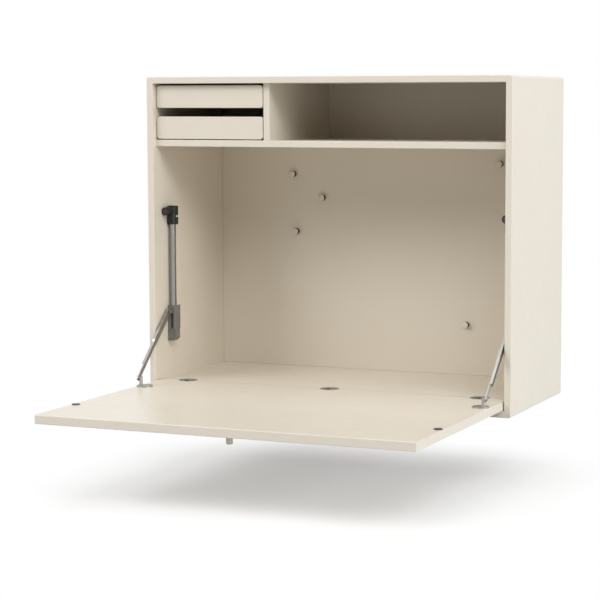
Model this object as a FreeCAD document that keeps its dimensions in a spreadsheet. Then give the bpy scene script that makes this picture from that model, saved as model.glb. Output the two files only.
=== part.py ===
"""Fold down wall desk: a wall-hung cabinet with two trays, an open shelf and a drop flap on two stays.

Frame: millimetres, +X to the right, +Y into the wall, +Z up.
The origin lies on the wall plane, on the middle of the wall rail's row of screw holes.
Heights in the sizes are measured from the cabinet's underside, which lies RAIL_UP below the origin.
The flap is modelled open, lying level with the desk floor.
"""
import FreeCAD, Part
import os
import re
import Sketcher

SIZES = [
    # Carcass
    ("width", 696, "overall width of the cabinet"),
    ("height", 582, "overall height of the cabinet"),
    ("depth", 300, "depth of the cabinet from the wall to its front edge"),
    ("panel", 12, "thickness of the four outer boards"),
    ("corner_round", 4, "radius of the outer corners of the carcass"),
    ("edge_round", 1.2, "radius of the eased edges of the boards"),
    ("front_recess", 12, "set-back of flap, shelf and trays from the front edge"),
    ("joint_gap", 2, "gap beside the closed flap"),
    ("flap_over", 3, "gap over the closed flap"),
    ("shelf_board", 12, "thickness of the shelf"),
    ("shelf_clear", 101.2, "clear height above the shelf"),
    ("divider_board", 12, "thickness of the upright divider"),
    ("bay_width", 216, "clear width of the tray bay"),
    # Back and wall fixing
    ("back_board", 8, "thickness of the back panel"),
    ("cavity_depth", 14, "room behind the back panel for the wall rail"),
    ("groove_deep", 5, "depth of the groove that holds the back panel"),
    ("groove_slack", 0.3, "room around the back panel in its groove"),
    ("sheet", 1, "thickness of the steel sheet behind the desk"),
    ("sheet_slack", 0.3, "room around the steel sheet"),
    ("rail_inset", 56, "distance of the wall rail's ends from the side panels"),
    ("rail_room", 1.5, "room between the hangers and the top panel"),
    ("rail_thickness", 2.5, "metal thickness of the wall rail and hangers"),
    ("rail_below", 19, "wall rail below its screw holes"),
    ("rail_above", 16, "wall rail above its screw holes, up to its ledge"),
    ("rail_lip", 10, "height of the wall rail's lip"),
    ("rail_ledge", 8, "reach of the wall rail's ledge from the wall"),
    ("rail_hole", 6.5, "diameter of the wall rail's screw holes"),
    ("rail_spacing", 400, "distance between the wall rail's screw holes"),
    ("hanger_width", 50, "width of a hanger"),
    ("hanger_inset", 96, "distance of each hanger's middle from the side panel"),
    ("hanger_drop", 34, "length of a hanger's plate below the rail's lip"),
    ("hook_drop", 8, "length of a hanger's hook behind the rail's lip"),
    ("hook_slack", 0.3, "room between a hanger's hook and the rail's lip"),
    # Trays
    ("finger_gap", 15.5, "gap between the two tray fronts"),
    ("tray_gap", 1.5, "gap beside a tray front and under the lower one"),
    ("tray_over", 3.2, "gap over the upper tray front"),
    ("tray_face", 12, "thickness of a tray front"),
    ("tray_round", 6, "radius of a tray front's corners"),
    ("tray_bevel", 0.8, "bevel of a tray front's edges"),
    ("tray_wall", 9, "thickness of a tray's sides and back"),
    ("tray_wall_up", 3, "height of a tray's sides above the foot of its front"),
    ("tray_wall_drop", 8, "drop from the top of a tray's front to the top of its sides"),
    ("tray_base", 4, "thickness of a tray's base"),
    ("tray_base_up", 2, "height of a tray's base above the foot of its sides"),
    ("tray_side_gap", 4, "gap between a tray's side and the wall of its bay"),
    ("tray_back_gap", 8, "gap between a tray and the back panel"),
    ("runner_height", 6, "height of a tray runner"),
    ("runner_reach", 8, "reach of a tray runner from the wall of the bay"),
    ("runner_up", 14, "height of a runner above the foot of the tray's sides"),
    ("runner_slack", 0.3, "room around a runner in the tray's groove"),
    ("runner_set", 12, "distance of a runner's end from the tray front and from the tray's tail"),
    # Flap and hinges
    ("flap_board", 15, "thickness of the flap"),
    ("flap_clear", 1, "room between the open flap and the bottom board"),
    ("hinge_drop", 7, "depth of the hinge axis under the desk top and ahead of the joint"),
    ("hinge_sweep", 0.6, "room between the turning edge of the flap and the desk floor"),
    ("hinge_inset", 52.5, "distance of each outer hinge from the side panel"),
    ("hinge_disc", 35, "diameter of a flush hinge"),
    ("hinge_deep", 11.5, "depth of a hinge leaf in its board"),
    ("hinge_fit", 0.1, "room around a hinge leaf in its board"),
    ("hinge_set", 1, "set-back of the flap leaf from the edge of the flap"),
    ("hinge_pin", 3.2, "diameter of a hinge pin"),
    ("hinge_pin_length", 20, "length of a hinge pin"),
    ("pin_play", 0.05, "running room around a pin"),
    ("tongue_width", 8, "width of the hinge tongue"),
    ("tongue_height", 6, "height of the hinge tongue and diameter of its eye"),
    ("tongue_play", 0.4, "room around the hinge tongue"),
    # Flap stays
    ("tube", 12, "outer diameter of the guide tube"),
    ("tube_wall", 1, "wall of the guide tube"),
    ("tube_back", 29, "distance of the tube's axis behind the closed flap"),
    ("tube_seat", 12, "depth of the tube in each of its fittings"),
    ("tube_fit", 0.1, "room around the tube in its fittings"),
    ("tube_play", 0.4, "running room around the tube in the slider"),
    ("slider_wall", 1.8, "wall of the slider in front of the tube and on its inner side"),
    ("slider_cheek", 1, "wall of the slider between the tube and the side panel"),
    ("slider_room", 0.4, "room between the slider and the side panel"),
    ("slider_round", 2.5, "radius of the slider's inner front edge"),
    ("slider_above", 10.5, "slider above its pivot"),
    ("slider_below", 33.9, "slider below its pivot"),
    ("slider_behind", 11, "slider's cheeks behind the tube's axis"),
    ("slider_rest", 0.5, "gap between the slider and the lower block"),
    ("slider_slot", 4, "width of the slot in the slider's front"),
    ("slot_foot", 2, "slider left below its slot"),
    ("slot_head", 1, "slider left between its slot and its lug"),
    ("slot_in", 1.2, "distance of the slot's middle from the tube's axis, away from the side panel"),
    ("lug_thickness", 2, "thickness of the slider's lug that carries the arm"),
    ("lug_height", 8, "height of the slider's lug"),
    ("pivot", 5, "diameter of the stay's pivots"),
    ("pivot_head", 7, "diameter of a pivot's head"),
    ("pivot_head_thick", 1, "thickness of a pivot's head"),
    ("pivot_play", 0.3, "room beside the arm on its pivots"),
    ("arm_length", 159.6, "length of the arm between its pivots"),
    ("arm_clear", 0.5, "room between the arm's upper end and the slider behind it"),
    ("arm_lean", 0.7, "distance of the closed arm's foot behind its upper pivot"),
    ("arm_room", 2.5, "room between the arm's flanges and the side panel"),
    ("arm_thickness", 2, "thickness of the arm"),
    ("arm_lower_width", 8, "width of the arm's lower half"),
    ("arm_upper_width", 11, "width of the arm's upper half"),
    ("flange_height", 3, "height of the arm's flanges"),
    ("flange_thickness", 1.4, "thickness of the arm's flanges"),
    ("flange_start", 30, "distance from the lower pivot to the foot of the flanges"),
    ("arm_step", 82, "distance from the lower pivot to the arm's wide half"),
    ("arm_nose", 5.5, "arm beyond its pivots"),
    ("arm_tip", 1, "flat left between the round corners of the arm's ends"),
    ("block_height", 21, "height of the lower block"),
    ("block_wall", 2.5, "wall of the lower block around the tube"),
    ("block_bevel", 5, "bevel at the foot of the lower block"),
    ("catch_reach", 316.5, "distance of the catch from the hinge axis"),
    ("catch_boss", 15, "diameter of the boss that holds the catch's magnet"),
    ("catch_magnet", 10, "diameter of the catch's magnet"),
    ("magnet_deep", 5, "depth of the catch's magnet in its boss"),
    ("catch_gap", 0.3, "gap between the catch and its plate on the closed flap"),
    ("fitting_below", 25, "top fitting below the axis of the catch"),
    ("fitting_above", 9, "top fitting above the axis of the catch"),
    ("fitting_wall", 3, "wall of the top fitting around the tube"),
    ("fitting_round", 5, "radius of the top fitting's upright edges"),
    ("fitting_bevel", 3, "bevel of the top fitting's upper inner edge"),
    ("notch_up", 13, "height of the notch above the foot of the top fitting"),
    ("notch_height", 3.5, "height of the notch at the back of the top fitting"),
    # Flap fittings
    ("plate", 28.5, "diameter of the stay's plate on the flap"),
    ("plate_thick", 2.5, "thickness of the stay's plate on the flap"),
    ("plate_shift", 6, "distance of the plate's middle from its post, away from the side panel"),
    ("plate_behind", 2.5, "distance of the plate's middle behind its post"),
    ("post", 6, "diameter of the post on the plate"),
    ("post_room", 0.5, "room between the post and the arm"),
    ("post_reach", 95.4, "distance of the post ahead of the hinge axis"),
    ("strike", 14, "diameter of the catch's plate on the flap"),
    ("strike_inset", 1, "distance of the catch's plate from the side of the flap"),
    ("strike_thick", 1.5, "thickness of the catch's plate on the flap"),
    ("stem_fit", 0.1, "room around a stem in its hole"),
    ("knob", 11, "diameter of the knob"),
    ("knob_neck", 8, "diameter of the knob's neck"),
    ("knob_step", 5, "length of the knob's neck"),
    ("knob_length", 18, "length of the knob with its neck"),
    ("knob_stem", 4, "diameter of the knob's stem"),
    ("knob_deep", 9, "depth of the knob's stem in the flap"),
    ("knob_in", 42, "distance of the knob from the free edge of the flap"),
    # Magnets on the steel sheet, which spread with the desk compartment
    ("peg", 11, "diameter of a magnet"),
    ("peg_length", 9, "length of a magnet"),
    ("magnet_1_across", -0.542, "first magnet, from the middle, as a share of the half width"),
    ("magnet_1_up", 0.867, "first magnet, from the floor, as a share of the height"),
    ("magnet_2_across", -0.36, "second magnet, from the middle, as a share of the half width"),
    ("magnet_2_up", 0.763, "second magnet, from the floor, as a share of the height"),
    ("magnet_3_across", -0.524, "third magnet, from the middle, as a share of the half width"),
    ("magnet_3_up", 0.611, "third magnet, from the floor, as a share of the height"),
    ("magnet_4_across", 0.702, "fourth magnet, from the middle, as a share of the half width"),
    ("magnet_4_up", 0.923, "fourth magnet, from the floor, as a share of the height"),
    ("magnet_5_across", 0.509, "fifth magnet, from the middle, as a share of the half width"),
    ("magnet_5_up", 0.221, "fifth magnet, from the floor, as a share of the height"),
]

# Places that several pieces share, as expressions of the sizes
INNER = "(width / 2 - panel)"
CEILING = "(height - panel)"
FLOOR_BOARD = "(flap_board + flap_clear)"
FLOOR_TOP = f"(panel + {FLOOR_BOARD})"
SHELF_TOP = f"({CEILING} - shelf_clear)"
SHELF_UP = f"({SHELF_TOP} - shelf_board)"
BACK_FACE = "(-cavity_depth - back_board)"
FRONT = "(front_recess - depth)"
JOINT = "(front_recess - depth + flap_board)"
LIP_TOP = "(rail_above + rail_lip)"
RAIL_UP = f"({CEILING} - rail_room - rail_thickness - {LIP_TOP})"
DIVIDER_LEFT = f"(bay_width - {INNER})"
TRAY_WIDTH = "(bay_width - 2 * tray_gap)"
TRAY_HEIGHT = "((shelf_clear - finger_gap - tray_gap - tray_over) / 2)"
TRAY_WALL = f"({TRAY_HEIGHT} - tray_wall_up - tray_wall_drop)"
TRAY_TAIL = f"({BACK_FACE} - tray_back_gap)"
TRAY_SIDE = f"({TRAY_TAIL} - {FRONT} - tray_face)"
LOWER_TRAY = f"({SHELF_TOP} + tray_gap)"
UPPER_TRAY = f"({CEILING} - tray_over - {TRAY_HEIGHT})"
HINGE_SPREAD = f"({INNER} - hinge_inset)"
AXIS_Y = f"({JOINT} - hinge_drop)"
AXIS_UP = f"({FLOOR_TOP} - hinge_drop)"
COVE = "(hinge_drop * sqrt(2) + hinge_sweep)"
FLAP_WIDTH = f"(2 * {INNER} - 2 * joint_gap)"
FLAP_LENGTH = f"({SHELF_UP} - flap_over - {FLOOR_TOP} + 2 * hinge_drop)"

# Distances across a stay, inwards from the side panel to the tube's axis, the arm's middle, the post
# and the plate, and outwards from the tube's axis to the arm's middle
TUBE_IN = "(tube / 2 + tube_play + slider_cheek + slider_room)"
ARM_IN = "(arm_room + flange_height + arm_thickness / 2)"
ARM_OUT = f"({TUBE_IN} - {ARM_IN})"
POST_IN = f"({ARM_IN} + arm_thickness / 2 + post_room + post / 2)"
PLATE_IN = f"({POST_IN} + plate_shift)"
TUBE_X = f"({INNER} - {TUBE_IN})"

TUBE_Y = f"({JOINT} + tube_back)"
CATCH_UP = f"({AXIS_UP} + catch_reach)"
PIVOT_AHEAD = "(tube / 2 + tube_play + slider_wall + arm_clear + arm_upper_width / 2)"
POST_HEIGHT = f"(tube_back - {PIVOT_AHEAD} + arm_lean)"
ARM_RUN = f"(tube_back - {PIVOT_AHEAD} + hinge_drop + post_reach)"
POST_UP = f"({FLOOR_TOP} + {POST_HEIGHT})"
PIVOT_UP = f"({POST_UP} + sqrt(arm_length ^ 2 - {ARM_RUN} ^ 2))"
BLOCK_UP = f"({PIVOT_UP} - slider_below - slider_rest - block_height)"

SIDES = {"left": "-1", "right": "1"}
HINGES = {"left": f"-{HINGE_SPREAD}", "centre": "0", "right": HINGE_SPREAD}
TRAYS = {"lower": LOWER_TRAY, "upper": UPPER_TRAY}
MAGNETS = 5
NEAR = 1e-4

doc = FreeCAD.newDocument("wall_desk")
sheet = doc.addObject("Spreadsheet::Sheet", "Sizes")
for row, (alias, size, note) in enumerate(SIZES, start=1):
    sheet.set(f"A{row}", note)
    sheet.set(f"B{row}", str(size))
    sheet.setAlias(f"B{row}", alias)
doc.recompute()

ALIAS = re.compile(r"\b(" + "|".join(alias for alias, size, note in SIZES) + r")\b")
nodes = []


def bound(expression):
    """The expression with each size named as a cell of the sheet."""
    return ALIAS.sub(r"Sizes.\1", expression)


def value(expression):
    """The expression's number at the sheet's present sizes."""
    return float(sheet.evalExpression(bound(expression)))


def bind(thing, **expressions):
    """Tie properties of a document object to the sheet."""
    for name, expression in expressions.items():
        thing.setExpression(name, bound(expression))


def place(thing, x="0", y="0", up="0"):
    """Tie a sub-part's place to the sheet and keep it as a node; up counts from the cabinet's underside."""
    thing.setExpression("Placement.Base.x", bound(x))
    thing.setExpression("Placement.Base.y", bound(y))
    thing.setExpression("Placement.Base.z", bound(f"{up} - {RAIL_UP}"))
    nodes.append(thing)


def new_body(label):
    """An empty body with its own label."""
    body = doc.addObject("PartDesign::Body", label)
    body.Label = label
    return body


def new_sketch(body, plane, offset=None):
    """A sketch on one of the body's own planes, raised along that plane's normal by offset."""
    sketch = body.newObject("Sketcher::SketchObject", "Sketch")
    support = next(feature for feature in body.Origin.OriginFeatures if feature.Role == plane)
    sketch.AttachmentSupport = (support, [""])
    sketch.MapMode = "FlatFace"
    if offset:
        sketch.setExpression("AttachmentOffset.Base.z", bound(offset))
    return sketch


def hold(sketch, item, point, u, v):
    """Hold a point of the sketch at the expressions u and v from the sketch's origin."""
    for kind, expression in (("DistanceX", u), ("DistanceY", v)):
        rule = Sketcher.Constraint(kind, -1, 1, item, point, value(expression))
        index = sketch.addConstraint(rule)
        sketch.setExpression(f"Constraints[{index}]", bound(expression))


def outline(sketch, corners):
    """A closed outline of straight lines through the corners, each a pair of expressions."""
    points = [FreeCAD.Vector(value(u), value(v), 0) for u, v in corners]
    first = sketch.GeometryCount
    for start, end in zip(points, points[1:] + points[:1]):
        sketch.addGeometry(Part.LineSegment(start, end), False)
    for index, (u, v) in enumerate(corners):
        line = first + index
        before = first + (index - 1) % len(corners)
        sketch.addConstraint(Sketcher.Constraint("Coincident", before, 2, line, 1))
        hold(sketch, line, 1, u, v)


def rectangle(sketch, low, high):
    """A rectangle between two corners, each a pair of expressions."""
    outline(sketch, [low, (high[0], low[1]), high, (low[0], high[1])])


def circle(sketch, u, v, diameter):
    """A circle about the point u, v."""
    centre = FreeCAD.Vector(value(u), value(v), 0)
    item = sketch.addGeometry(Part.Circle(centre, FreeCAD.Vector(0, 0, 1), value(diameter) / 2), False)
    hold(sketch, item, 3, u, v)
    index = sketch.addConstraint(Sketcher.Constraint("Diameter", item, value(diameter)))
    sketch.setExpression(f"Constraints[{index}]", bound(diameter))


def pad(body, sketch, length, both_ways=False, backwards=False):
    """Raise the sketch by length, along its plane's normal, both ways or backwards."""
    feature = body.newObject("PartDesign::Pad", "Pad")
    feature.Profile = sketch
    bind(feature, Length=length)
    if both_ways:
        feature.SideType = "Symmetric"
    feature.Reversed = backwards


def pocket(body, sketch, length, both_ways=False, backwards=False):
    """Cut the sketch out of the body by length, against its plane's normal, both ways or backwards."""
    feature = body.newObject("PartDesign::Pocket", "Pocket")
    feature.Profile = sketch
    bind(feature, Length=length)
    if both_ways:
        feature.SideType = "Symmetric"
    feature.Reversed = backwards


def turn(body, plane, axis, corners):
    """A turned piece: the outline on one of the body's planes, swept around an axis of that plane."""
    sketch = new_sketch(body, plane)
    outline(sketch, corners)
    feature = body.newObject("PartDesign::Revolution", "Revolution")
    feature.Profile = sketch
    feature.ReferenceAxis = (sketch, [axis])
    feature.Angle = 360


def lies(edge, **planes):
    """Whether the edge lies in every plane given, such as x="width / 2"."""
    box = edge.BoundBox
    spans = {"x": (box.XMin, box.XMax), "y": (box.YMin, box.YMax), "z": (box.ZMin, box.ZMax)}
    ends = [(end, value(expression)) for axis, expression in planes.items() for end in spans[axis]]
    return all(abs(end - level) < NEAR for end, level in ends)


def ease(body, radius, pick, kind="Fillet"):
    """Round or bevel the edges of the body that pick chooses."""
    doc.recompute()
    base = body.Tip
    names = [f"Edge{n}" for n, edge in enumerate(base.Shape.Edges, start=1) if pick(edge)]
    feature = body.newObject(f"PartDesign::{kind}", kind)
    feature.Base = (base, names)
    if kind == "Fillet":
        bind(feature, Radius=radius)
    else:
        bind(feature, Size=radius)


def board(label, size, centred=False):
    """A board of the given size, from its lower left front corner or centred sideways on its origin."""
    across, along, up = size
    body = new_body(label)
    sketch = new_sketch(body, "XY_Plane")
    left = f"-{across} / 2" if centred else "0"
    right = f"{across} / 2" if centred else across
    rectangle(sketch, (left, "0"), (right, along))
    pad(body, sketch, up)
    return body


def carcass():
    """Four mitred boards, cut from one ring with rounded outer corners and a groove for the back panel."""
    ring = new_body("carcass_ring")
    sketch = new_sketch(ring, "XZ_Plane")
    rectangle(sketch, ("-width / 2", "0"), ("width / 2", "height"))
    pad(ring, sketch, "depth")
    ease(ring, "corner_round", lambda edge: lies(edge, x="width / 2", z="0")
         or lies(edge, x="width / 2", z="height")
         or lies(edge, x="-width / 2", z="0")
         or lies(edge, x="-width / 2", z="height"))
    opening = new_sketch(ring, "XZ_Plane")
    rectangle(opening, (f"-{INNER}", "panel"), (INNER, CEILING))
    pocket(ring, opening, "depth", backwards=True)
    groove = new_sketch(ring, "XZ_Plane", "cavity_depth")
    rectangle(groove, (f"-{INNER} - groove_deep", "panel - groove_deep"),
              (f"{INNER} + groove_deep", f"{CEILING} + groove_deep"))
    pocket(ring, groove, "back_board", backwards=True)
    ease(ring, "edge_round", lambda edge: lies(edge, y="-depth"))
    # Each board is the ring inside its own mitre, which is drawn twice as deep as the board
    left, right = "-width / 2", "width / 2"
    inner_left, inner_right = "(2 * panel - width / 2)", "(width / 2 - 2 * panel)"
    low, high = "2 * panel", "(height - 2 * panel)"
    mitres = {
        "left_side_panel": [(left, "0"), (left, "height"), (inner_left, high), (inner_left, low)],
        "right_side_panel": [(right, "0"), (right, "height"), (inner_right, high), (inner_right, low)],
        "top_panel": [(left, "height"), (right, "height"), (inner_right, high), (inner_left, high)],
        "bottom_panel": [(left, "0"), (right, "0"), (inner_right, low), (inner_left, low)],
    }
    for label, corners in mitres.items():
        mitre = new_body(f"{label}_mitre")
        sketch = new_sketch(mitre, "XZ_Plane")
        outline(sketch, corners)
        pad(mitre, sketch, "depth")
        common = doc.addObject("Part::Common", label)
        common.Label = label
        common.Base = ring
        common.Tool = mitre
        place(common)


def back():
    """Back panel in its groove, and the steel sheet in front of it that the magnets stick to."""
    reach = "groove_deep - groove_slack"
    panel = board("back_panel", (f"(2 * {INNER} + 2 * ({reach}))", "back_board",
                                 f"{CEILING} - panel + 2 * ({reach})"), centred=True)
    place(panel, y=BACK_FACE, up=f"panel - ({reach})")
    steel = board("steel_sheet", (f"(2 * {INNER} - 2 * sheet_slack)", "sheet",
                                  f"{SHELF_UP} - {FLOOR_TOP} - 2 * sheet_slack"), centred=True)
    place(steel, y=f"{BACK_FACE} - sheet", up=f"{FLOOR_TOP} + sheet_slack")


def inner_boards():
    """Shelf and divider with eased front edges."""
    shelf = board("shelf", (f"2 * {INNER}", f"{BACK_FACE} - {FRONT}", "shelf_board"), centred=True)
    ease(shelf, "edge_round", lambda edge: lies(edge, y="0", z="0") or lies(edge, y="0", z="shelf_board"))
    place(shelf, y=FRONT, up=SHELF_UP)
    divider = board("divider", ("divider_board", f"{BACK_FACE} - {FRONT}", f"{CEILING} - {SHELF_TOP}"))
    ease(divider, "edge_round", lambda edge: lies(edge, y="0", x="0") or lies(edge, y="0", x="divider_board"))
    place(divider, DIVIDER_LEFT, FRONT, SHELF_TOP)


def desk_floor():
    """Desk floor with a hollow front edge that the flap's edge turns in, and a seat for each hinge.

    Its own origin lies on the hinge axis.
    """
    floor = new_body("desk_floor")
    section = new_sketch(floor, "YZ_Plane")
    rectangle(section, ("hinge_drop + hinge_sweep", f"hinge_drop - {FLOOR_BOARD}"),
              (f"{BACK_FACE} - {AXIS_Y}", "hinge_drop"))
    pad(floor, section, f"2 * {INNER}", both_ways=True)
    hollow = new_sketch(floor, "YZ_Plane")
    circle(hollow, "0", "0", f"2 * {COVE}")
    pocket(floor, hollow, f"2 * {INNER}", both_ways=True)
    seats = new_sketch(floor, "XY_Plane", "hinge_drop")
    for x in HINGES.values():
        circle(seats, x, "hinge_drop", "hinge_disc + 2 * hinge_fit")
    pocket(floor, seats, "hinge_deep")
    place(floor, y=AXIS_Y, up=AXIS_UP)


def flap():
    """Drop flap, open, with its origin on the hinge axis and a seat for every fitting."""
    panel = new_body("flap_panel")
    section = new_sketch(panel, "YZ_Plane")
    rectangle(section, (f"hinge_drop - {FLAP_LENGTH}", "hinge_drop - flap_board"),
              ("hinge_drop", "hinge_drop"))
    pad(panel, section, FLAP_WIDTH, both_ways=True)
    # The lower hinge edge is rounded about the axis, so that it turns clear of the bottom board
    ease(panel, "hinge_drop", lambda edge: lies(edge, y="hinge_drop", z="hinge_drop - flap_board"))
    ease(panel, "edge_round", lambda edge: lies(edge, y=f"hinge_drop - {FLAP_LENGTH}"))
    seats = new_sketch(panel, "XY_Plane", "hinge_drop")
    for x in HINGES.values():
        circle(seats, x, "hinge_drop", "hinge_disc + 2 * hinge_fit")
    pocket(panel, seats, "hinge_deep")
    knob_hole = new_sketch(panel, "XY_Plane", "hinge_drop - flap_board")
    circle(knob_hole, "0", f"hinge_drop - {FLAP_LENGTH} + knob_in", "knob_stem + 2 * stem_fit")
    pocket(panel, knob_hole, "knob_deep", backwards=True)
    place(panel, y=AXIS_Y, up=AXIS_UP)


def hinges():
    """Three flush hinges, each a leaf with a tongue in the desk floor, a slotted leaf in the flap and a pin.

    Each piece has its origin on the hinge axis, and its disc is centred on the joint.
    """
    foot = "hinge_drop - hinge_deep"
    slot = "tongue_height / 2 + tongue_play"
    far = "hinge_disc"
    for name, x in HINGES.items():
        floor_leaf = new_body(f"hinge_{name}_floor_leaf")
        disc = new_sketch(floor_leaf, "XY_Plane", foot)
        circle(disc, "0", "hinge_drop", "hinge_disc")
        pad(floor_leaf, disc, "hinge_deep")
        front = new_sketch(floor_leaf, "YZ_Plane")
        rectangle(front, (f"-{far}", f"-{far}"), ("hinge_drop + hinge_sweep", far))
        pocket(floor_leaf, front, f"2 * {far}", both_ways=True)
        hollow = new_sketch(floor_leaf, "YZ_Plane")
        circle(hollow, "0", "0", f"2 * {COVE}")
        pocket(floor_leaf, hollow, f"2 * {far}", both_ways=True)
        tongue = new_sketch(floor_leaf, "YZ_Plane")
        rectangle(tongue, ("0", "-tongue_height / 2"), ("hinge_disc / 2", "tongue_height / 2"))
        pad(floor_leaf, tongue, "tongue_width", both_ways=True)
        eye = new_sketch(floor_leaf, "YZ_Plane")
        circle(eye, "0", "0", "tongue_height")
        pad(floor_leaf, eye, "tongue_width", both_ways=True)
        bore = new_sketch(floor_leaf, "YZ_Plane")
        circle(bore, "0", "0", "hinge_pin + 2 * pin_play")
        pocket(floor_leaf, bore, f"2 * {far}", both_ways=True)
        place(floor_leaf, x, AXIS_Y, AXIS_UP)

        flap_leaf = new_body(f"hinge_{name}_flap_leaf")
        disc = new_sketch(flap_leaf, "XY_Plane", foot)
        circle(disc, "0", "hinge_drop", "hinge_disc")
        pad(flap_leaf, disc, "hinge_deep")
        rear = new_sketch(flap_leaf, "YZ_Plane")
        rectangle(rear, ("hinge_drop - hinge_set", f"-{far}"), (f"2 * {far}", far))
        pocket(flap_leaf, rear, f"2 * {far}", both_ways=True)
        gap = new_sketch(flap_leaf, "YZ_Plane")
        rectangle(gap, (f"-({slot})", f"-({slot})"), (far, far))
        pocket(flap_leaf, gap, "tongue_width + 2 * tongue_play", both_ways=True)
        bore = new_sketch(flap_leaf, "YZ_Plane")
        circle(bore, "0", "0", "hinge_pin + 2 * pin_play")
        pocket(flap_leaf, bore, "hinge_pin_length", both_ways=True)
        place(flap_leaf, x, AXIS_Y, AXIS_UP)

        pin = new_body(f"hinge_{name}_pin")
        section = new_sketch(pin, "YZ_Plane")
        circle(section, "0", "0", "hinge_pin")
        pad(pin, section, "hinge_pin_length", both_ways=True)
        place(pin, x, AXIS_Y, AXIS_UP)


def trays():
    """Two trays of five boards each, and the runners that carry them in grooves in their sides."""
    hollow = "(runner_reach - tray_side_gap + runner_slack)"
    side_x = {"left": "tray_side_gap", "right": "bay_width - tray_side_gap - tray_wall"}
    for name, up in TRAYS.items():
        face = board(f"{name}_tray_front", (TRAY_WIDTH, "tray_face", TRAY_HEIGHT))
        ease(face, "tray_round", lambda edge: lies(edge, x="0", z="0") or lies(edge, x="0", z=TRAY_HEIGHT)
             or lies(edge, x=TRAY_WIDTH, z="0") or lies(edge, x=TRAY_WIDTH, z=TRAY_HEIGHT))
        ease(face, "tray_bevel", lambda edge: lies(edge, y="0"), "Chamfer")
        place(face, f"tray_gap - {INNER}", FRONT, up)
        wall_up = f"{up} + tray_wall_up"
        inside = "(bay_width - 2 * tray_side_gap - 2 * tray_wall)"
        for side, x in side_x.items():
            wall = board(f"{name}_tray_{side}_side", ("tray_wall", TRAY_SIDE, TRAY_WALL))
            groove = new_sketch(wall, "XY_Plane", "runner_up - runner_slack")
            low_x, high_x = ("0", hollow) if side == "left" else (f"tray_wall - {hollow}", "tray_wall")
            rectangle(groove, (low_x, "runner_set - runner_slack"), (high_x, TRAY_SIDE))
            pocket(wall, groove, "runner_height + 2 * runner_slack", backwards=True)
            place(wall, f"{x} - {INNER}", f"{FRONT} + tray_face", wall_up)
            runner = board(f"{name}_tray_{side}_runner",
                           ("runner_reach", f"{TRAY_SIDE} - 2 * runner_set", "runner_height"))
            runner_x = "0" if side == "left" else "bay_width - runner_reach"
            runner_y = f"{FRONT} + tray_face + runner_set"
            place(runner, f"{runner_x} - {INNER}", runner_y, f"{wall_up} + runner_up")
        tail = board(f"{name}_tray_back", (inside, "tray_wall", TRAY_WALL))
        place(tail, f"tray_side_gap + tray_wall - {INNER}", f"{TRAY_TAIL} - tray_wall", wall_up)
        base = board(f"{name}_tray_base", (inside, f"{TRAY_SIDE} - tray_wall", "tray_base"))
        base_up = f"{wall_up} + tray_base_up"
        place(base, f"tray_side_gap + tray_wall - {INNER}", f"{FRONT} + tray_face", base_up)


def wall_fixing():
    """Wall rail with a raised lip, and two hangers on the back panel that hook over it."""
    rail = new_body("wall_rail")
    section = new_sketch(rail, "YZ_Plane")
    ledge = "(rail_above - rail_thickness)"
    outline(section, [("-rail_thickness", "-rail_below"), ("0", "-rail_below"), ("0", "rail_above"),
                      ("rail_thickness - rail_ledge", "rail_above"),
                      ("rail_thickness - rail_ledge", LIP_TOP),
                      ("-rail_ledge", LIP_TOP), ("-rail_ledge", ledge), ("-rail_thickness", ledge)])
    pad(rail, section, f"2 * ({INNER} - rail_inset)", both_ways=True)
    holes = new_sketch(rail, "XZ_Plane")
    for side in SIDES.values():
        circle(holes, f"{side} * rail_spacing / 2", "0", "rail_hole")
    pocket(rail, holes, "rail_thickness", backwards=True)
    place(rail, up=RAIL_UP)
    # The hanger's web lies on the lip, and its hook drops behind the lip
    hook_front = "(rail_thickness - rail_ledge + hook_slack)"
    for name, side in SIDES.items():
        hanger = new_body(f"{name}_hanger")
        section = new_sketch(hanger, "YZ_Plane")
        outline(section, [("-cavity_depth", f"{LIP_TOP} - hanger_drop"),
                          ("rail_thickness - cavity_depth", f"{LIP_TOP} - hanger_drop"),
                          ("rail_thickness - cavity_depth", LIP_TOP), (hook_front, LIP_TOP),
                          (hook_front, f"{LIP_TOP} - hook_drop"),
                          (f"{hook_front} + rail_thickness", f"{LIP_TOP} - hook_drop"),
                          (f"{hook_front} + rail_thickness", f"{LIP_TOP} + rail_thickness"),
                          ("-cavity_depth", f"{LIP_TOP} + rail_thickness")])
        pad(hanger, section, "hanger_width", both_ways=True)
        place(hanger, f"{side} * ({INNER} - hanger_inset)", up=RAIL_UP)


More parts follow.
